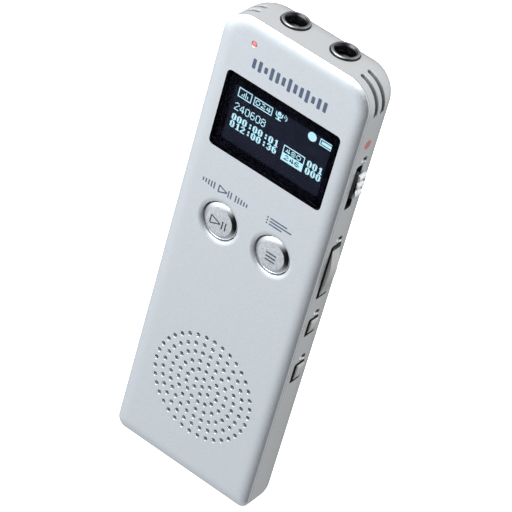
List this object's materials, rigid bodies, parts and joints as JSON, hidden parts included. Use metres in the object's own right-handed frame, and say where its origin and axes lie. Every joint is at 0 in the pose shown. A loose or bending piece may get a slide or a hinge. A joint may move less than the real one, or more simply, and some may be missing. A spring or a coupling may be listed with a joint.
{
  "type": "portable field recorder",
  "caption": "Slim pocket stereo recorder with a smoked display, two front keys, a round speaker grille, side keys and sockets on top; the battery cover is hinged.",
  "frame": {"origin": "middle of the flat bottom end, on the mid-plane of the case", "axes": "+Z along the length to the end with the jacks, the display faces -Y, the record switch is on the +X side, +Y out of the back"},
  "size_m": [0.0384, 0.0142, 0.1125],
  "materials": {
    "silver_paint": "satin silver paint over an aluminium plate",
    "side_grey": "painted moulded case, satin grey-silver",
    "dark_glass": "gloss smoked window",
    "oled_glass": "gloss display module",
    "dark_chrome": "black nickel plating",
    "satin_key": "satin metallised plastic",
    "grey_key": "satin painted plastic",
    "red_lens": "clear red light pipe",
    "black_plastic": "moulded black plastic",
    "mesh_cloth": "fine woven dust cloth",
    "speaker_paper": "coated paper cone",
    "magnet_steel": "plated steel",
    "boot_rubber": "moulded rubber",
    "board_green": "solder-masked circuit board",
    "cell_jacket": "printed metal sleeve",
    "contact_nickel": "nickel plating",
    "screw_steel": "bright steel"
  },
  "bodies": {
    "case": {"front_panel": "silver_paint", "rear_case": "side_grey", "cover_hinge_pin": "screw_steel", "display_window": "dark_glass", "oled_panel": "oled_glass", "display_ribbon": "contact_nickel", "display_gasket": "boot_rubber", "speaker_gasket": "boot_rubber", "key_dome_sheet": "contact_nickel", "record_lamp": "red_lens", "speaker_cloth": "mesh_cloth", "speaker_basket": "magnet_steel", "speaker_cone": "speaker_paper", "speaker_magnet": "magnet_steel", "mic_jack_collar": "dark_chrome", "mic_jack_socket": "black_plastic", "phones_jack_collar": "dark_chrome", "phones_jack_socket": "black_plastic", "left_mic_boot": "boot_rubber", "left_mic_capsule": "contact_nickel", "right_mic_boot": "boot_rubber", "right_mic_capsule": "contact_nickel", "rocker_pin": "screw_steel", "rocker_bracket": "magnet_steel", "record_switch": "black_plastic", "hold_switch": "black_plastic", "volume_up_switch": "black_plastic", "volume_down_switch": "black_plastic", "forward_switch": "black_plastic", "back_switch": "black_plastic", "main_board": "board_green", "connector_board": "board_green", "right_board": "board_green", "left_board": "board_green", "processor_chip": "black_plastic", "memory_chip": "black_plastic", "card_socket": "magnet_steel", "usb_socket": "contact_nickel", "usb_tongue": "black_plastic", "battery_frame": "black_plastic", "cell_left": "cell_jacket", "cell_right": "cell_jacket", "contact_bridge": "contact_nickel", "contact_plus": "contact_nickel", "contact_minus": "contact_nickel", "spring_lower": "contact_nickel", "spring_upper": "contact_nickel", "board_screw_1": "screw_steel", "board_screw_2": "screw_steel", "lower_screw_1": "screw_steel", "lower_screw_2": "screw_steel"},
    "play_key": {"play_button": "satin_key"},
    "menu_key": {"menu_button": "satin_key"},
    "record_knob": {"record_slider": "satin_key"},
    "volume_key": {"volume_rocker": "grey_key"},
    "forward_push": {"forward_key": "grey_key"},
    "back_push": {"back_key": "grey_key"},
    "hold_knob": {"hold_slider": "satin_key"},
    "cover": {"battery_cover": "silver_paint"},
    "card": {"memory_card": "black_plastic"}
  },
  "joints": [
    {"name": "play_press", "type": "slide", "parent": "case", "child": "play_key", "axis": [0, 1, 0], "range_m": [0, 0.0003], "stiffness_N_per_m": 500, "springref_m": -0.002},
    {"name": "menu_press", "type": "slide", "parent": "case", "child": "menu_key", "axis": [0, 1, 0], "range_m": [0, 0.0003], "stiffness_N_per_m": 500, "springref_m": -0.002},
    {"name": "record_slide", "type": "slide", "parent": "case", "child": "record_knob", "axis": [0, 0, 1], "range_m": [-0.0025, 0]},
    {"name": "volume_tilt", "type": "hinge", "parent": "case", "child": "volume_key", "pos_m": [0.0159, -0.0026, 0.06525], "axis": [0, 1, 0], "range_deg": [-3, 3], "stiffness_Nm_per_rad": 0.1},
    {"name": "forward_press", "type": "slide", "parent": "case", "child": "forward_push", "axis": [-1, 0, 0], "range_m": [0, 0.0003], "stiffness_N_per_m": 500, "springref_m": -0.002},
    {"name": "back_press", "type": "slide", "parent": "case", "child": "back_push", "axis": [-1, 0, 0], "range_m": [0, 0.0003], "stiffness_N_per_m": 500, "springref_m": -0.002},
    {"name": "hold_slide", "type": "slide", "parent": "case", "child": "hold_knob", "axis": [0, 0, 1], "range_m": [0, 0.0032]},
    {"name": "cover_swing", "type": "hinge", "parent": "case", "child": "cover", "pos_m": [0, 0.0049, 0.0896], "axis": [1, 0, 0], "range_deg": [0, 90]},
    {"name": "card_slide", "type": "slide", "parent": "case", "child": "card", "axis": [-1, 0, 0], "range_m": [0, 0.012]}
  ]
}
